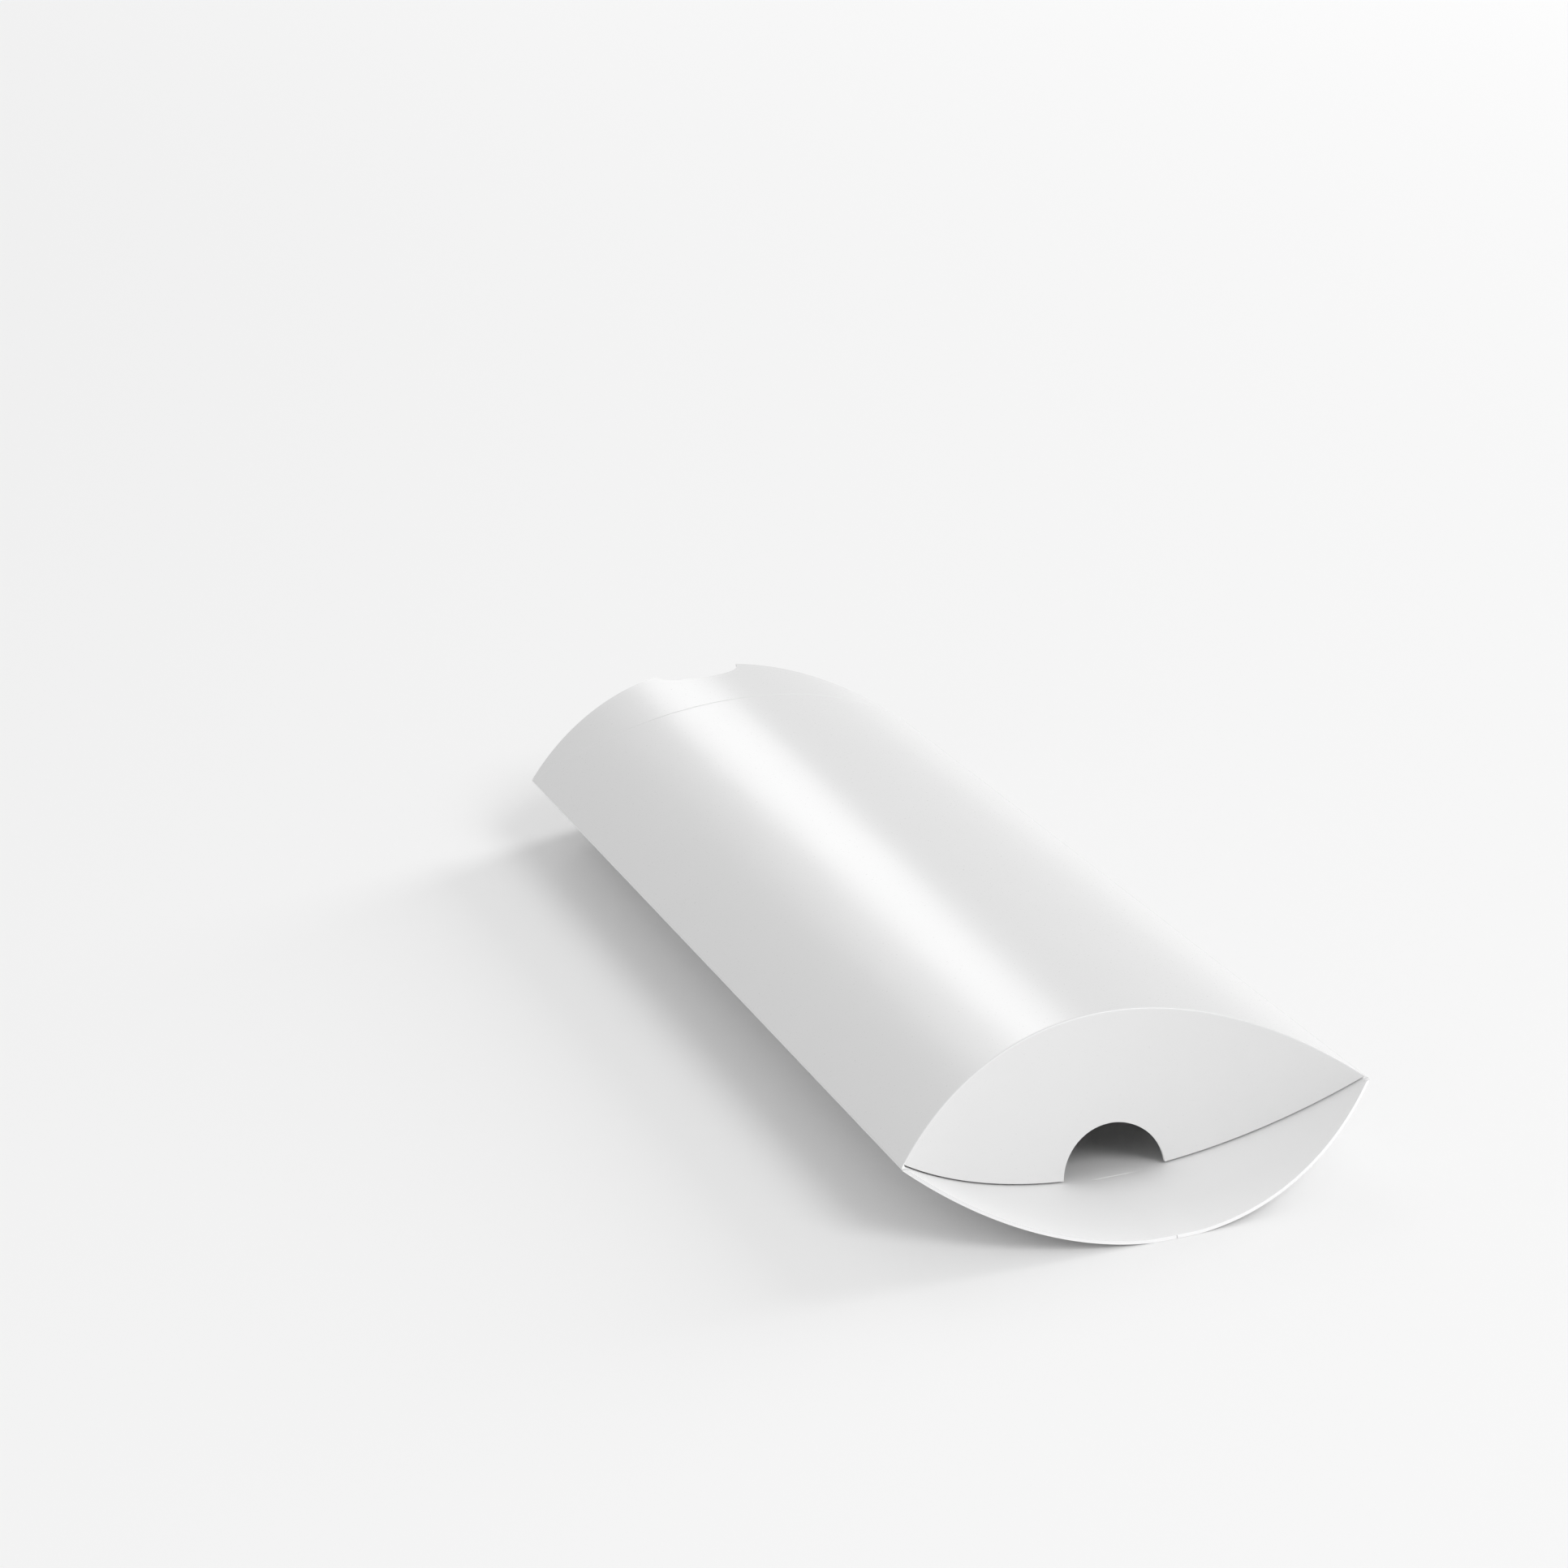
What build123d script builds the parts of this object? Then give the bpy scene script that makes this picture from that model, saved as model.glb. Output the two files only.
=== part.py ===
from build123d import *
import os
from math import atan, degrees, sqrt

# Pillow box folded from one die-cut piece of coated board, lying on its lower panel.
# Millimetres. X runs across the box, Y along it, Z is up.
# The origin is on the resting surface, under the middle of the box.
# The front end faces -Y, the rear end faces +Y.

# Whole box
box_width = 80.0
box_length = 236.0
crown_rise = 14.4
board = 0.6
rest_flat_width = 8.0

# End creases, measured back from the line through the two side corners
top_setback = 14.1
bottom_setback = 13.8

# End flaps, measured out from the same line; a folded top flap stops just above the lower panel
top_flap_floor_gap = 0.4
bottom_flap_reach = 14.2
flap_corner_inset = 1.2
flap_centre_width = 8.0
fold_gap = 0.25
notch_radius = 8.8

# Glued side seam
seam_flap_width = 15.0
seam_flap_end_gap = 4.0
seam_flap_end_taper = 6.0
glue_thickness = 0.1
glue_clearance = 0.05
glue_width = 8.0
glue_corner_gap = 4.0
glue_end_gap = 6.0

# One overrun serves every cut
overrun = 5.0

# Worked out from the sizes above
half_width = box_width / 2
arc_radius = (half_width**2 + crown_rise**2) / (2 * crown_rise)
arc_drop = arc_radius - crown_rise
flat_depth = arc_radius - sqrt(arc_radius**2 - (rest_flat_width / 2) ** 2)
corner_height = crown_rise - flat_depth
top_fold_sine = 2 * crown_rise * top_setback / (crown_rise**2 + top_setback**2)
top_flap_length = (2 * crown_rise - board - top_flap_floor_gap) / top_fold_sine
top_flap_reach = top_flap_length - top_setback
seam_gap = glue_thickness + 2 * glue_clearance
cut_size = 2 * (box_length + box_width)


def end_place(end):
    """Place of an end's own frame: origin between its two side corners, +Y out of the box."""
    turn = 0 if end > 0 else 180
    return Pos(0, end * box_length / 2, corner_height) * Rot(0, 0, turn)


def placed(shape, end, side):
    """Puts a shape drawn for the top of an end at that end, turned over for the lower panel."""
    if side < 0:
        shape = mirror(shape, about=Plane.XY)
    return end_place(end) * shape


def crease_plane(setback):
    """Flat plane that holds the curved crease, with its normal out of the box."""
    normal = (0, crown_rise, setback)
    return Plane(origin=(0, 0, 0), x_dir=(1, 0, 0), z_dir=normal)


def outside(setback, gap=0):
    """Everything beyond the crease plane, or beyond a gap next to it."""
    return crease_plane(setback) * Pos(0, 0, gap + cut_size / 2) * Box(cut_size, cut_size, cut_size)


def crease_prism(setback, gap=0):
    """The crease's ellipse drawn out square to its plane: its wall is the fold's mitre."""
    slope = sqrt(crown_rise**2 + setback**2) / crown_rise
    long_radius = arc_radius * slope
    top_edge = crown_rise * slope
    ellipse = Ellipse(arc_radius - gap, long_radius - gap)
    face = crease_plane(setback) * Pos(0, long_radius - top_edge, 0) * ellipse
    return extrude(face, amount=cut_size / 2, both=True)


def curved_sheet(inner, outer, low_y, high_y):
    """Sheet between two radii about the crown's axis, from the side corners' level up."""
    length = high_y - low_y
    place = Pos(0, (low_y + high_y) / 2, -arc_drop) * Rot(90, 0, 0)
    sheet = place * Cylinder(outer, length) - place * Cylinder(inner, length + overrun)
    above = Pos(0, (low_y + high_y) / 2, cut_size / 2) * Box(cut_size, length + overrun, cut_size)
    return sheet & above


def flap_outline(setback, reach, notched):
    """A flap's outline from above, as a tall prism: free edge an arc, with or without a notch."""
    corner = half_width - flap_corner_inset
    back = -setback - overrun
    edge = ThreePointArc((corner, 0), (0, reach), (-corner, 0))
    sides = Polyline((-corner, 0), (-corner, back), (corner, back), (corner, 0))
    face = make_face(edge + sides)
    if notched:
        face -= Pos(0, reach) * Circle(notch_radius)
    return extrude(face, amount=cut_size / 2, both=True)


def open_flap(setback, reach, notched):
    """Flap that carries on from its panel, drawn at the top of an end."""
    sheet = curved_sheet(arc_radius - board, arc_radius, -setback - overrun, reach + overrun)
    return sheet & outside(setback, fold_gap) & flap_outline(setback, reach, notched)


def closed_flap(setback, reach, notched):
    """Flap folded down: the open sheet's mirror image in the crease plane, board to the inside."""
    sheet = curved_sheet(arc_radius, arc_radius + board, -setback - overrun, reach + overrun)
    flat = sheet & flap_outline(setback, reach, notched) & crease_prism(setback, fold_gap)
    return mirror(flat, about=crease_plane(setback))


def flap_leaves(flap):
    """Splits a flap along two rulings into its centre and two wings, keyed by side of X."""
    half = flap_centre_width / 2
    wing = half_width - half
    tall = cut_size
    centre = flap & Box(flap_centre_width, tall, tall)
    low_wing = flap & Pos(-half - wing / 2, 0, 0) * Box(wing, tall, tall)
    high_wing = flap & Pos(half + wing / 2, 0, 0) * Box(wing, tall, tall)
    return {0: centre, -1: low_wing, 1: high_wing}


def panel(side, setback):
    """One main panel between its two end creases, mitred for the folds."""
    sheet = Pos(0, 0, corner_height) * curved_sheet_of_panel(side)
    for end in (1, -1):
        sheet -= placed(outside(setback), end, side)
        sheet -= placed(crease_prism(setback), end, side)
    return above_rest(sheet)


def curved_sheet_of_panel(side):
    """The panel's sheet over the whole length, turned over for the lower panel."""
    sheet = curved_sheet(arc_radius - board, arc_radius, -box_length / 2, box_length / 2)
    return sheet if side > 0 else mirror(sheet, about=Plane.XY)


def above_rest(shape):
    """Presses the underside flat where the box rests."""
    return shape & Pos(0, 0, cut_size / 2) * Box(cut_size, cut_size, cut_size)


def seam_flap():
    """Tab on the lower panel's right edge, folded up under the top panel."""
    outer = arc_radius - board - seam_gap
    length = box_length - 2 * (top_setback + seam_flap_end_gap)
    place = Pos(0, 0, corner_height - arc_drop) * Rot(90, 0, 0)
    sheet = place * Cylinder(outer, length) - place * Cylinder(outer - board, length + overrun)
    lower_inside = Pos(0, 0, corner_height + arc_drop) * Rot(90, 0, 0)
    sheet &= lower_inside * Cylinder(arc_radius - board, length + overrun)
    inner_x = half_width - seam_flap_width
    half = length / 2
    tapered = half - seam_flap_end_taper
    outline = Polyline(
        (half_width, -half),
        (half_width, half),
        (inner_x, tapered),
        (inner_x, -tapered),
        close=True,
    )
    return sheet & extrude(make_face(outline), amount=cut_size / 2, both=True)


def glue_line():
    """Line of glue between the seam flap and the top panel."""
    outer = arc_radius - board - glue_clearance
    length = box_length - 2 * (top_setback + seam_flap_end_gap + glue_end_gap)
    place = Pos(0, 0, corner_height - arc_drop) * Rot(90, 0, 0)
    ring = place * Cylinder(outer, length) - place * Cylinder(outer - glue_thickness, length + overrun)
    middle_x = half_width - glue_corner_gap - glue_width / 2
    strip = Pos(middle_x, 0, corner_height + cut_size / 2) * Box(glue_width, cut_size, cut_size)
    return ring & strip


def end_name(end):
    return "rear" if end > 0 else "front"


def leaf_name(end, side, leaf):
    """Left and right are those of someone who looks at the front end."""
    level = "top" if side > 0 else "bottom"
    part = {0: "centre", 1: "right", -1: "left"}[leaf * end]
    return f"{end_name(end)}_{level}_flap_{part}"


def flap_parts():
    """The four end flaps in leaves: the front notched flap is folded down, the rest are open."""
    parts = {}
    for end in (1, -1):
        top_shape = open_flap if end > 0 else closed_flap
        top = top_shape(top_setback, top_flap_reach, True)
        bottom = open_flap(bottom_setback, bottom_flap_reach, False)
        for side, flap in ((1, top), (-1, bottom)):
            for leaf, solid in flap_leaves(flap).items():
                parts[leaf_name(end, side, leaf)] = above_rest(placed(solid, end, side))
    return parts


def all_parts():
    parts = {
        "top_panel": panel(1, top_setback),
        "bottom_panel": panel(-1, bottom_setback),
        "seam_flap": seam_flap(),
        "glue_line": glue_line(),
    }
    parts.update(flap_parts())
    return parts


def report_fold(name, setback):
    """Prints the angle that takes a flap from open to its mirror image."""
    fold = 2 * degrees(atan(crown_rise / setback))
    print(name, "fold angle", round(fold, 2), "crown crease at", round(box_length / 2 - setback, 2))


def main():
    os.makedirs("parts", exist_ok=True)
    for name, solid in all_parts().items():
        export_step(solid, f"parts/{name}.step")
    report_fold("top", top_setback)
    report_fold("bottom", bottom_setback)


main()
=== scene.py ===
import math

import bpy
import numpy as np
from mathutils import Matrix, Vector


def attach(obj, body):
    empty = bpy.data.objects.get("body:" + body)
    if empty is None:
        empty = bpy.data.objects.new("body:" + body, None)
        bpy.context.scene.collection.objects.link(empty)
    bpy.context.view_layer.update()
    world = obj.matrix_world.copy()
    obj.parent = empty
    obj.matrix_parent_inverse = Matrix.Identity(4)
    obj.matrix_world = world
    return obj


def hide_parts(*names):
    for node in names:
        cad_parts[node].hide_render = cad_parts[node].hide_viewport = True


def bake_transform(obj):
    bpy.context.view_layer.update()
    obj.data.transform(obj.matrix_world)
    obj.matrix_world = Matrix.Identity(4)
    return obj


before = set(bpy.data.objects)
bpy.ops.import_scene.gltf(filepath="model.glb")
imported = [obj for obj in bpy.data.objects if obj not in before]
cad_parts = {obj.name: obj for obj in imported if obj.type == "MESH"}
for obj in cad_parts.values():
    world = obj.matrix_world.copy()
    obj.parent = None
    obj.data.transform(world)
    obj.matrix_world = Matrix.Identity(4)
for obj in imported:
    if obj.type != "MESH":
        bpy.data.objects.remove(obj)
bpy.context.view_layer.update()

# Throughout, side is 1 for the top panel and its flaps and -1 for the lower ones, end is 1 for the
# rear and -1 for the front, and hand is 1 for the right and -1 for the left, seen from the front.

# Sizes of the box, in metres, as the CAD part has them
MM = 0.001
HALF_WIDTH = 40.0 * MM
HALF_LENGTH = 118.0 * MM
RISE = 14.4 * MM
BOARD = 0.6 * MM
FLAT = 4.0 * MM
SETBACK = {1: 14.1 * MM, -1: 13.8 * MM}
REACH = {1: 13.706 * MM, -1: 14.2 * MM}
NOTCH = 8.8 * MM

# How far from the middle line the flaps' corners and the top panel's cut edge lie
OPEN_CORNER = 39.7 * MM
FOLDED_CORNER = 39.0 * MM
SEAM_EDGE = 39.3 * MM

# How far the crease's spring holds a folded flap's free edge out of its mirrored place
SPRING_BACK = 1.2 * MM

# How much a folded flap's free edge draws back at its corners, to clear the lower panel evenly
CORNER_EASE = 0.38 * MM

# Small forms that only show close up
FOLD_ROUND = 0.36 * MM
SCORE_ROUND = 0.30 * MM
SCORE_DEPTH = 0.07 * MM
CORNER_ROUND = 0.35 * MM
SEAM_WRAP = math.radians(62)
EDGE_BULGE = 0.05 * MM
EDGE_POWER = 0.6
SHARP_ANGLE = math.radians(38)

# A fold's round is this share of the crease's height where that is less; no form shrinks to nothing
FOLD_HEIGHT_SHARE = 0.4
LEAST_FOLD = 0.01 * MM
LEAST_HEIGHT = 0.02 * MM
TINY = 1e-12

# Steps across a cut edge and round half a fold, and round the panels' two kinds of side corner
WALL_STEPS = 5
FOLD_ROWS = 5
CORNER_TURNS = 6
WRAP_TURNS = 12

# Where the rows lie, as shares of a flap's run from its fold and of a panel's between its folds
FLAP_ROWS = np.concatenate([[0.015, 0.06], np.linspace(0.15, 0.94, 12), [0.985, 1]])
PANEL_ROWS = np.concatenate([[0.003, 0.012], np.linspace(0.03, 0.97, 33), [0.988, 0.997]])

# Where the columns lie: by the middle line, round the notch, evenly, and by a corner or an edge
MIDDLE_COLUMN = 0.03 * MM
NOTCH_COLUMNS = NOTCH * np.cos(np.radians(np.linspace(88, 0.4, 34)))
PAST_NOTCH = [NOTCH + 0.02 * MM, NOTCH + 0.25 * MM]
FIRST_EVEN = 1.2 * MM
FLAP_COLUMNS = 44
FLAP_CORNER_STEPS = (0.6 * MM, 0.15 * MM)
PANEL_COLUMNS = 121
PANEL_EDGE_STEPS = (0.1 * MM, 0.35 * MM)
SEAM_EDGE_STEPS = (0.4 * MM, 0.15 * MM)

# The lower panel lies beside the top one in the flat blank; millimetres, as the flat grid is
BLANK_SHIFT = 90.0

# Worked out from the sizes above
RADIUS = (HALF_WIDTH**2 + RISE**2) / (2 * RISE)
DROP = RADIUS - RISE
MIDDLE = RISE - (RADIUS - math.sqrt(RADIUS**2 - FLAT**2))
CORNER_SLOPE = math.asin(HALF_WIDTH / RADIUS)
OUT = np.array([0.0, 1.0, 0.0])

# Looks of the board and the glue; texture scales are per millimetre of the flat blank
BOARD_IOR = 1.5
COAT_ROUGHNESS = 0.22
MOTTLE_SHADE = 0.975
ROUGHNESS_SPREAD = 0.035
MOTTLE_SCALE = 0.06
GRAIN_SCALE = 2.2
WAVE_SCALE = (0.09, 0.022, 1.0)
GLUE_ROUGHNESS = 0.28
GLUE_COLOURS = (0.74, 0.71, 0.62), (0.83, 0.81, 0.73)
GLUE_LUMPS_PER_METRE = 260.0

# The floor, the dome of light, and the backdrop that the camera sees
FLOOR_REACH = 6.0
FLOOR_DROP = 0.02 * MM
FLOOR_GREY = 0.94
DOME_STRENGTH = 0.63
BACKDROP_STRENGTH = 0.64

# Each lamp's name, place, aim, width, height and watts
LAMPS = (
    ("front", (0.75, -2.30, 1.78), (0, 0, 0), 1.2, 1.2, 29.0),
    ("rear", (2.92, 1.18, 1.27), (0, 0, 0), 1.5, 1.5, 44.0),
    ("band", (0.455, 2.49, 1.142), (0, 0, 0.02), 0.44, 0.85, 2.02),
    ("band_near", (0.17, 2.414, 1.482), (0, 0, 0.02), 0.70, 0.51, 1.60),
)


# ---------------------------------------------------------------- materials


def node(tree, kind, at, **values):
    """Adds a shader node; each value goes to the input of that name, or else to the setting."""
    n = tree.nodes.new(kind)
    n.location = at
    for key, value in values.items():
        if key in n.inputs:
            n.inputs[key].default_value = value
        else:
            setattr(n, key, value)
    return n


def material_of(name):
    """A new node material with its tree and its main shader."""
    m = bpy.data.materials.new(name)
    m.use_nodes = True
    return m, m.node_tree, m.node_tree.nodes["Principled BSDF"]


def grey_ramp(tree, at, low, high, dark, bright):
    """Grey ramp from one value to another over part of a texture's range."""
    n = tree.nodes.new("ShaderNodeValToRGB")
    n.location = at
    for element, position, grey in zip(n.color_ramp.elements, (low, high), (dark, bright)):
        element.position = position
        element.color = (grey, grey, grey, 1)
    return n


def tint_shader(tree, shader, at, texture, low, high):
    """Gives the shader a base colour that a texture mixes from two colours."""
    tint = tree.nodes.new("ShaderNodeMix")
    tint.data_type = "RGBA"
    tint.location = at
    tint.inputs["A"].default_value = (*low, 1)
    tint.inputs["B"].default_value = (*high, 1)
    tree.links.new(texture.outputs["Fac"], tint.inputs["Factor"])
    tree.links.new(tint.outputs["Result"], shader.inputs["Base Color"])


def board_material(name, grey, roughness, fibre, wave, coat):
    """White board: faint mottling, fine fibre or coating grain, and a slight long waviness.

    fibre and wave are the heights of the grain and the waviness, in millimetres."""
    m, t, shader = material_of(name)
    shader.inputs["IOR"].default_value = BOARD_IOR
    shader.inputs["Coat Weight"].default_value = coat
    shader.inputs["Coat Roughness"].default_value = COAT_ROUGHNESS
    place = node(t, "ShaderNodeUVMap", (-1500, 0), uv_map="board")
    noise = "ShaderNodeTexNoise"
    mottle = node(t, noise, (-1200, 300), Scale=MOTTLE_SCALE, Detail=5.0, Roughness=0.6)
    grain = node(t, noise, (-1200, 0), Scale=GRAIN_SCALE, Detail=6.0, Roughness=0.62)
    stretch = node(t, "ShaderNodeMapping", (-1350, -350), Scale=WAVE_SCALE)
    long_wave = node(t, noise, (-1200, -350), Scale=1.0, Detail=1.5, Roughness=0.4)
    for texture in (mottle, grain, stretch):
        t.links.new(place.outputs["UV"], texture.inputs["Vector"])
    t.links.new(stretch.outputs["Vector"], long_wave.inputs["Vector"])
    tint_shader(t, shader, (-700, 350), mottle, [grey * MOTTLE_SHADE] * 3, [grey] * 3)
    least, most = roughness - ROUGHNESS_SPREAD, roughness + ROUGHNESS_SPREAD
    rough = grey_ramp(t, (-700, 50), 0.3, 0.7, least, most)
    t.links.new(grain.outputs["Fac"], rough.inputs["Fac"])
    t.links.new(rough.outputs["Color"], shader.inputs["Roughness"])
    fine = node(t, "ShaderNodeBump", (-500, -150), Strength=0.5, Distance=fibre * MM)
    broad = node(t, "ShaderNodeBump", (-300, -300), Strength=1.0, Distance=wave * MM)
    t.links.new(grain.outputs["Fac"], fine.inputs["Height"])
    t.links.new(long_wave.outputs["Fac"], broad.inputs["Height"])
    t.links.new(fine.outputs["Normal"], broad.inputs["Normal"])
    t.links.new(broad.outputs["Normal"], shader.inputs["Normal"])
    return m


def glue_material():
    """Dried white glue: smooth and yellowish, with small lumps."""
    m, t, shader = material_of("dried_glue")
    shader.inputs["Roughness"].default_value = GLUE_ROUGHNESS
    place = node(t, "ShaderNodeTexCoord", (-1000, 0))
    lumps = node(t, "ShaderNodeTexNoise", (-800, 0), Scale=GLUE_LUMPS_PER_METRE, Detail=3.0)
    t.links.new(place.outputs["Object"], lumps.inputs["Vector"])
    tint_shader(t, shader, (-400, 150), lumps, *GLUE_COLOURS)
    bump = node(t, "ShaderNodeBump", (-400, -150), Strength=0.6, Distance=0.03 * MM)
    t.links.new(lumps.outputs["Fac"], bump.inputs["Height"])
    t.links.new(bump.outputs["Normal"], shader.inputs["Normal"])
    return m


COATED = board_material("coated_board", 0.80, roughness=0.30, fibre=0.006, wave=0.10, coat=0.35)
PLAIN = board_material("plain_board", 0.92, roughness=0.62, fibre=0.016, wave=0.08, coat=0.0)
CORE = board_material("cut_board", 0.97, roughness=0.75, fibre=0.03, wave=0.0, coat=0.0)
GLUE = glue_material()


# ---------------------------------------------------------------- the board's shape


def arc_height(x, radius=RADIUS):
    """Height of the crown over the line between the side corners, at each x."""
    return np.sqrt(radius**2 - np.square(x)) - DROP


def arc_normal(x):
    """Direction straight out of the crown's outer face, at each x."""
    turn = np.arcsin(x / RADIUS)
    return np.stack([np.sin(turn), np.zeros_like(x), np.cos(turn)], 1)


def crease_points(x, z, side):
    """Points of an end crease: the crown's section laid in the crease's slanting plane."""
    return np.stack([x, -SETBACK[side] * np.clip(z, 0, None) / RISE, z], 1)


def flipped(points, side):
    """Mirror image in the plane of the crease, which is where a folded flap lies."""
    normal = np.array([0, RISE, SETBACK[side]])
    normal /= np.linalg.norm(normal)
    return points - 2 * (points @ normal)[..., None] * normal


def fold_rows(crease, normal, way, other, folded):
    """Half of a fold, from its middle along one way: a round if folded, a pressed groove if not."""
    most = FOLD_ROUND if folded else SCORE_ROUND
    size = np.clip(FOLD_HEIGHT_SHARE * crease[:, 2], LEAST_FOLD, most)
    depth = 0 if folded else SCORE_DEPTH
    share = np.linspace(0.5, 0, FOLD_ROWS)[None, :, None]
    bend = way * (1 - share) ** 2 + other * share**2
    groove = normal[:, None] * depth * (2 * share) ** 2
    return crease[:, None] + size[:, None, None] * bend - groove


def finish_mesh(name, points, uvs, faces, slots, turned):
    """Makes the mesh object, with smooth faces and the board's own flat coordinates in mm."""
    if turned:
        faces = [tuple(reversed(f)) for f in faces]
    mesh = bpy.data.meshes.new(name)
    mesh.from_pydata([tuple(p) for p in points], [], faces)
    for material in (COATED, PLAIN, CORE):
        mesh.materials.append(material)
    mesh.polygons.foreach_set("material_index", slots)
    set_flat_places(mesh, np.asarray(uvs, np.float32))
    mesh.polygons.foreach_set("use_smooth", [True] * len(mesh.polygons))
    mesh.update()
    mesh.set_sharp_from_angle(angle=SHARP_ANGLE)
    obj = bpy.data.objects.new(name, mesh)
    bpy.context.scene.collection.objects.link(obj)
    return obj


def set_flat_places(mesh, places):
    """Writes each vertex's place in the flat blank, in mm, to the mesh's board coordinates."""
    layer = mesh.uv_layers.get("board") or mesh.uv_layers.new(name="board")
    loops = np.zeros(len(mesh.loops), np.int32)
    mesh.loops.foreach_get("vertex_index", loops)
    layer.data.foreach_set("uv", places[loops].ravel())


def board_sheet(outer, inner, uv, joined_side=None):
    """Closed sheet between two grids [column][row][xyz], with walls that bulge as a cut edge does.

    The wall on joined_side stays flat. Returns points, flat coordinates, faces and material
    slots: 0 for the outer face, 1 for the inner one and 2 for the walls."""
    columns, rows = outer.shape[:2]
    points = [outer.reshape(-1, 3), inner.reshape(-1, 3)]
    uvs = [uv.reshape(-1, 2), uv.reshape(-1, 2)]
    faces, slots = [], []
    size = columns * rows

    def at(i, j, layer=0):
        return layer * size + i * rows + j

    for i in range(columns - 1):
        for j in range(rows - 1):
            faces.append((at(i, j), at(i + 1, j), at(i + 1, j + 1), at(i, j + 1)))
            faces.append((at(i, j, 1), at(i, j + 1, 1), at(i + 1, j + 1, 1), at(i + 1, j, 1)))
            slots += [0, 1]
    sides = {
        "low_row": [(i, 0) for i in range(columns)],
        "high_column": [(columns - 1, j) for j in range(rows)],
        "high_row": [(i, rows - 1) for i in reversed(range(columns))],
        "low_column": [(0, j) for j in reversed(range(rows))],
    }
    start = 2 * size
    for side, ring in sides.items():
        bulge = 0 if side == joined_side else EDGE_BULGE
        a = np.array([outer[i, j] for i, j in ring])
        b = np.array([inner[i, j] for i, j in ring])
        flat = np.array([uv[i, j] for i, j in ring])
        out = np.cross(np.gradient(a, axis=0), a - b)
        out /= np.linalg.norm(out, axis=1)[:, None] + TINY
        previous = [at(i, j) for i, j in ring]
        for turn in np.linspace(0, math.pi, WALL_STEPS + 1)[1:]:
            if turn < math.pi:
                lean = math.cos(turn)
                across = 0.5 * (1 - math.copysign(abs(lean) ** EDGE_POWER, lean))
                points.append(a + (b - a) * across + out * bulge * math.sin(turn) ** EDGE_POWER)
                uvs.append(flat + (0, across * BOARD / MM))
                current = list(range(start, start + len(ring)))
                start += len(ring)
            else:
                current = [at(i, j, 1) for i, j in ring]
            for q in range(len(ring) - 1):
                faces.append((previous[q + 1], previous[q], current[q], current[q + 1]))
                slots.append(2)
            previous = current
    return np.concatenate(points), np.concatenate(uvs), faces, slots


def rested(outer, inner):
    """Presses the sheet flat where it would pass under the resting surface, full thickness kept."""
    lift = np.clip(-outer[..., 2:], 0, None) * (0, 0, 1)
    return outer + lift, inner + lift


def in_box(points, end, side):
    """From an end's own frame (its panel upward, +Y out of the box) to the box's frame."""
    return points * (end, end, side) + (0, end * HALF_LENGTH, MIDDLE)


def free_edge(x, side, corner, notched):
    """How far the flap reaches from the line between the side corners, at each x."""
    reach = REACH[side]
    bow = (corner**2 + reach**2) / (2 * reach)
    y = np.sqrt(bow**2 - x**2) - (bow - reach)
    if notched:
        cut = reach - np.sqrt(np.clip(NOTCH**2 - x**2, 0, None))
        y = np.where(x < NOTCH, np.minimum(y, cut), y)
    return y


def flap_columns(side, corner):
    """Columns from the middle to the corner, closer together at both ends and round the notch."""
    first = FIRST_EVEN
    marks = [0, MIDDLE_COLUMN]
    if side > 0:
        marks += [*NOTCH_COLUMNS, *PAST_NOTCH]
        first += NOTCH
    last, *near = (corner - step for step in FLAP_CORNER_STEPS)
    marks += list(np.linspace(first, last, FLAP_COLUMNS))
    return np.array([*marks, *near, corner])


def flap_grids(side, folded):
    """Outer and inner points of half a flap, from the middle line to the corner, and its flat grid.

    In an end's own frame; folded for a flap that rests in its mirrored place."""
    corner = FOLDED_CORNER if folded else OPEN_CORNER
    x = flap_columns(side, corner)
    crease = crease_points(x, arc_height(x), side)
    way = flipped(OUT, side) if folded else OUT
    bend = fold_rows(crease, arc_normal(x), way, -OUT, folded)
    ease = CORNER_EASE * (x / HALF_WIDTH) ** 2 if folded else 0
    root = crease[:, 1] + ease
    length = free_edge(x, side, corner, side > 0) - root
    spent = (bend[:, -1] - crease) @ way
    run = spent[:, None] + (length - spent)[:, None] * FLAP_ROWS
    outer = np.concatenate([bend, crease[:, None] + run[..., None] * way], 1)
    inner_z = arc_height(x, RADIUS + (BOARD if folded else -BOARD)).clip(LEAST_HEIGHT)
    if folded:
        mitre_y = crease[:, 1] + (inner_z - crease[:, 2]) * RISE / SETBACK[side]
        start = np.stack([x, mitre_y, inner_z], 1)
    else:
        start = crease_points(x, inner_z, side)
    stop = np.stack([x, crease[:, 1] + length, inner_z], 1)
    if folded:
        start, stop = flipped(start, side), flipped(stop, side)
    share = ((outer - outer[:, :1]) @ way) / ((outer[:, -1:] - outer[:, :1]) @ way)
    inner = start[:, None] + (stop - start)[:, None] * share[..., None]
    if folded:
        whole = free_edge(x, side, corner, False) - root
        spring = SPRING_BACK * (1 - (x / HALF_WIDTH) ** 2)
        lean = spring[:, None] * share * (length / whole)[:, None]
        outer, inner = outer + lean[..., None] * OUT, inner + lean[..., None] * OUT
    across = RADIUS * np.arcsin(x / RADIUS)
    along = HALF_LENGTH + crease[:, 1:2] + share * length[:, None]
    flat = np.stack([np.broadcast_to(across[:, None], along.shape), along], 2)
    return outer, inner, flat / MM


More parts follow.
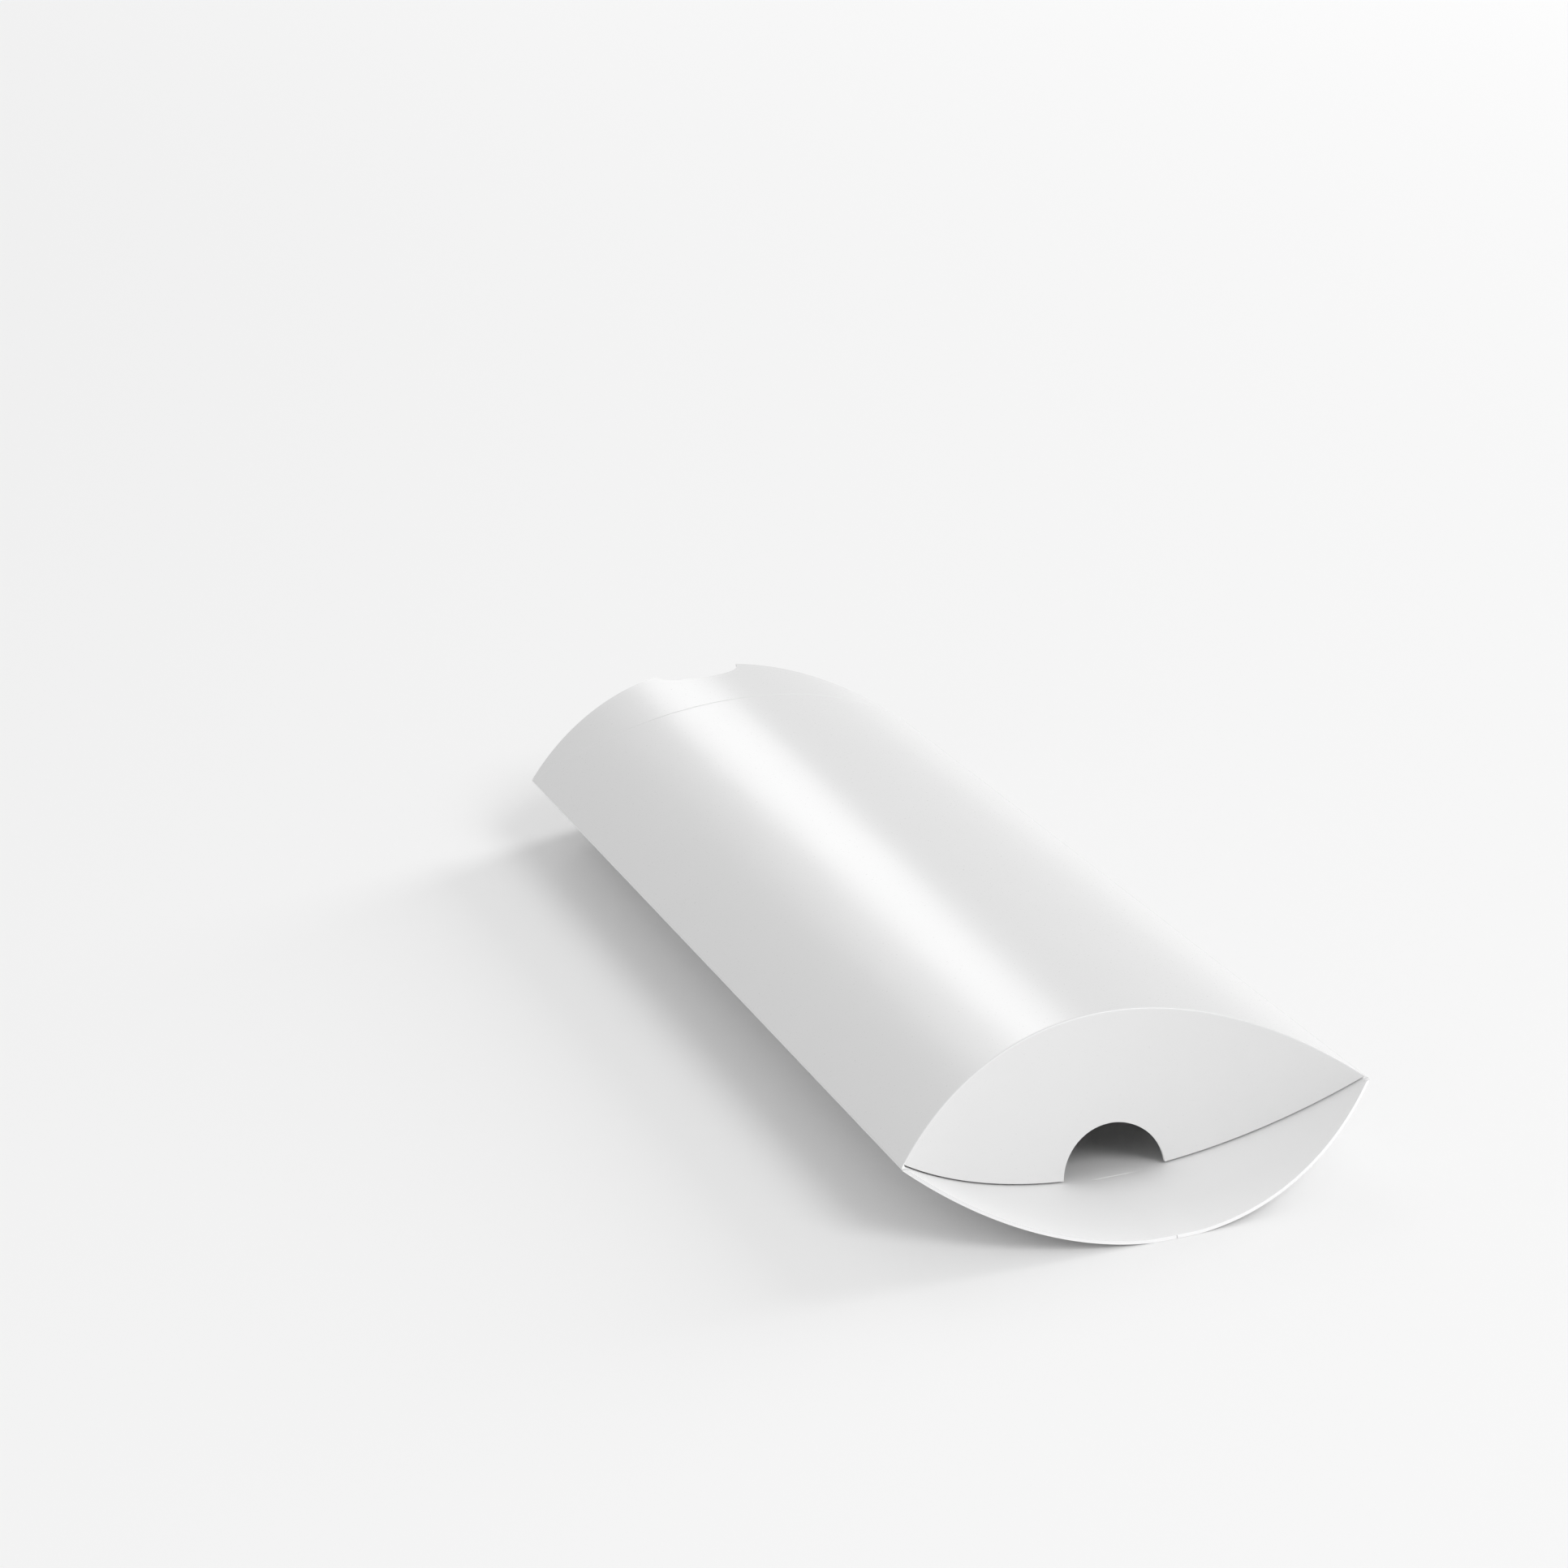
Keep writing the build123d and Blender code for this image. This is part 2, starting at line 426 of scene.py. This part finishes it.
def build_flap(end, side, folded):
    """An end flap in two halves, each from the middle line to its own corner, in place of the CAD
    nodes of its wing and of the flap's centre.
    """
    level = "top" if side > 0 else "bottom"
    base = f"{'rear' if end > 0 else 'front'}_{level}_flap"
    for hand, word in ((1, "right"), (-1, "left")):
        mirror = hand * end
        outer, inner, uv = flap_grids(side, folded)
        outer, inner = outer * (mirror, 1, 1), inner * (mirror, 1, 1)
        outer, inner = rested(in_box(outer, end, side), in_box(inner, end, side))
        flat = uv * (hand, end) + (0 if side > 0 else BLANK_SHIFT, 0)
        turned = (mirror < 0) != (side < 0) != folded
        sheet = board_sheet(outer, inner, flat, "low_column")
        obj = finish_mesh(f"{base}_{word}_half", *sheet, turned)
        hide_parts(f"{base}_{word}", f"{base}_centre")
        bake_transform(obj)


def panel_section(side):
    """Outer and inner [x, z] across a panel, from the left corner's round to the right edge."""
    centre = HALF_WIDTH - CORNER_ROUND / math.sin(CORNER_SLOPE)
    meet = centre + CORNER_ROUND * math.sin(CORNER_SLOPE)
    up = math.pi / 2 - CORNER_SLOPE
    turns = np.linspace(0, up, CORNER_TURNS)[:-1]
    x = list(-centre - CORNER_ROUND * np.cos(turns))
    z = list(CORNER_ROUND * np.sin(turns))
    first, second = PANEL_EDGE_STEPS
    even = np.linspace(-meet, meet, PANEL_COLUMNS)[1:-1]
    main = [-meet, -meet + first, -meet + second, *even]
    if side > 0:
        clear, last = (SEAM_EDGE - step for step in SEAM_EDGE_STEPS)
        main = [m for m in main if m < clear] + [last, SEAM_EDGE]
    else:
        main += [meet - second, meet - first]
    main = np.sort(main)
    x += list(main)
    z += list(arc_height(main))
    if side < 0:
        turns = np.linspace(up, -SEAM_WRAP, WRAP_TURNS)
        x += list(centre + CORNER_ROUND * np.cos(turns))
        z += list(CORNER_ROUND * np.sin(turns))
    outer = np.stack([x, z], 1)
    limit = math.sqrt((RADIUS - BOARD) ** 2 - DROP**2)
    inner_x = outer[:, 0].clip(-limit, limit)
    return outer, np.stack([inner_x, arc_height(inner_x, RADIUS - BOARD).clip(0)], 1)


def panel_end(outer, inner, side, folded):
    """One end of a panel in that end's own frame: the fold's rows, and the inner face's start."""
    steps = np.gradient(outer, axis=0)
    normal = np.stack([-steps[:, 1], np.zeros(len(steps)), steps[:, 0]], 1)
    normal /= np.linalg.norm(normal, axis=1)[:, None]
    crease = crease_points(outer[:, 0], outer[:, 1], side)
    other = flipped(OUT, side) if folded else OUT
    rows = fold_rows(crease, normal, -OUT, other, folded)
    if folded:
        start = crease[:, 1] - (crease[:, 2].clip(0) - inner[:, 1]) * RISE / SETBACK[side]
    else:
        start = -SETBACK[side] * inner[:, 1] / RISE
    return rows, start


def build_panel(side):
    """A main panel between its two end creases, riding on the shell."""
    outer_xz, inner_xz = panel_section(side)
    front, front_start = panel_end(outer_xz, inner_xz, side, side > 0)
    rear, rear_start = panel_end(outer_xz, inner_xz, side, False)
    front = front * (1, -1, 1) - (0, HALF_LENGTH, 0)
    rear = rear[:, ::-1] + (0, HALF_LENGTH, 0)
    middle = front[:, -1:] + (rear[:, :1] - front[:, -1:]) * PANEL_ROWS[None, :, None]
    outer = np.concatenate([front, middle, rear], 1)
    low, high = -HALF_LENGTH - front_start, HALF_LENGTH + rear_start
    share = (outer[..., 1] - outer[:, :1, 1]) / (outer[:, -1:, 1] - outer[:, :1, 1])
    inner = np.empty_like(outer)
    inner[..., 0] = inner_xz[:, :1]
    inner[..., 1] = low[:, None] + (high - low)[:, None] * share
    inner[..., 2] = inner_xz[:, 1:]
    arc = np.concatenate([[0], np.cumsum(np.linalg.norm(np.diff(outer_xz, axis=0), axis=1))])
    across = np.broadcast_to((arc - arc[-1] / 2)[:, None], share.shape)
    uv = np.stack([across, outer[..., 1]], 2) / MM + (0 if side > 0 else BLANK_SHIFT, 0)
    turn, lift = (1, 1, side), (0, 0, MIDDLE)
    outer, inner = rested(outer * turn + lift, inner * turn + lift)
    name = "top_panel" if side > 0 else "bottom_panel"
    obj = finish_mesh(f"{name}_board", *board_sheet(outer, inner, uv), side < 0)
    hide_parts(name)
    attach(obj, "shell")


def finish_carried(name, material):
    """Gives a node that keeps its CAD shape its finish and its own flat coordinates."""
    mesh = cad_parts[name].data
    places = np.array([v.co for v in mesh.vertices], float)
    set_flat_places(mesh, (places[:, :2] / MM).astype(np.float32))
    mesh.materials.clear()
    mesh.materials.append(material)


for side in (1, -1):
    build_panel(side)
    for end in (-1, 1):
        build_flap(end, side, folded=end < 0 and side > 0)
finish_carried("seam_flap", PLAIN)
finish_carried("glue_line", GLUE)


# ---------------------------------------------------------------- stage, light and camera


def build_floor():
    """Plain pale floor, a hair under the box."""
    mesh = bpy.data.meshes.new("floor")
    s = FLOOR_REACH
    mesh.from_pydata([(-s, -s, 0), (s, -s, 0), (s, s, 0), (-s, s, 0)], [], [(0, 1, 2, 3)])
    floor = bpy.data.objects.new("floor", mesh)
    floor.location.z = -FLOOR_DROP
    bpy.context.scene.collection.objects.link(floor)
    m, _, shader = material_of("pale_floor")
    shader.inputs["Base Color"].default_value = (FLOOR_GREY, FLOOR_GREY, FLOOR_GREY, 1)
    shader.inputs["Roughness"].default_value = 0.9
    shader.inputs["Specular IOR Level"].default_value = 0.1
    mesh.materials.append(m)


def area_light(name, at, towards, width, height, power):
    """Rectangular soft lamp that faces a point."""
    data = bpy.data.lights.new(name, "AREA")
    data.shape = "RECTANGLE"
    data.size, data.size_y, data.energy = width, height, power
    o = bpy.data.objects.new(name, data)
    o.location = at
    o.rotation_euler = (Vector(towards) - Vector(at)).to_track_quat("-Z", "Y").to_euler()
    bpy.context.scene.collection.objects.link(o)


def build_world():
    """Even dome for light; the camera, mirrors and clear things see a pale backdrop."""
    world = bpy.data.worlds.new("studio")
    world.use_nodes = True
    t = world.node_tree
    t.nodes.clear()
    out = node(t, "ShaderNodeOutputWorld", (600, 0))
    path = node(t, "ShaderNodeLightPath", (-400, 200))
    either = node(t, "ShaderNodeMath", (-200, 200), operation="MAXIMUM")
    seen = node(t, "ShaderNodeMath", (0, 200), operation="MAXIMUM")
    t.links.new(path.outputs["Is Camera Ray"], either.inputs[0])
    t.links.new(path.outputs["Is Transmission Ray"], either.inputs[1])
    t.links.new(either.outputs[0], seen.inputs[0])
    t.links.new(path.outputs["Is Glossy Ray"], seen.inputs[1])
    white = (1, 1, 1, 1)
    background = "ShaderNodeBackground"
    dome = node(t, background, (0, 0), Color=white, Strength=DOME_STRENGTH)
    pale = node(t, background, (0, -150), Color=white, Strength=BACKDROP_STRENGTH)
    mix = node(t, "ShaderNodeMixShader", (300, 0))
    t.links.new(seen.outputs[0], mix.inputs["Fac"])
    t.links.new(dome.outputs[0], mix.inputs[1])
    t.links.new(pale.outputs[0], mix.inputs[2])
    t.links.new(mix.outputs[0], out.inputs["Surface"])
    bpy.context.scene.world = world


def build_camera():
    """Where the photograph's camera stood, from a fit to the box's outlines and creases."""
    data = bpy.data.cameras.new("camera")
    data.sensor_width = 36.0
    data.lens = 105.7
    data.clip_start, data.clip_end = 0.01, 50.0
    cam = bpy.data.objects.new("camera", data)
    right = Vector((0.95195737, -0.29555251, -0.08016162))
    up = Vector((0.16054154, 0.25874914, 0.95251))
    back = Vector((-0.26077497, -0.91961818, 0.29376661))
    at = Vector((-0.2355087, -0.75929733, 0.28483982))
    turn = Matrix((right, up, back)).transposed().to_4x4()
    cam.matrix_world = Matrix.Translation(at) @ turn
    bpy.context.scene.collection.objects.link(cam)
    bpy.context.scene.camera = cam


build_floor()
build_world()
build_camera()
for lamp in LAMPS:
    area_light(*lamp)
bpy.context.scene.view_settings.view_transform = "Standard"
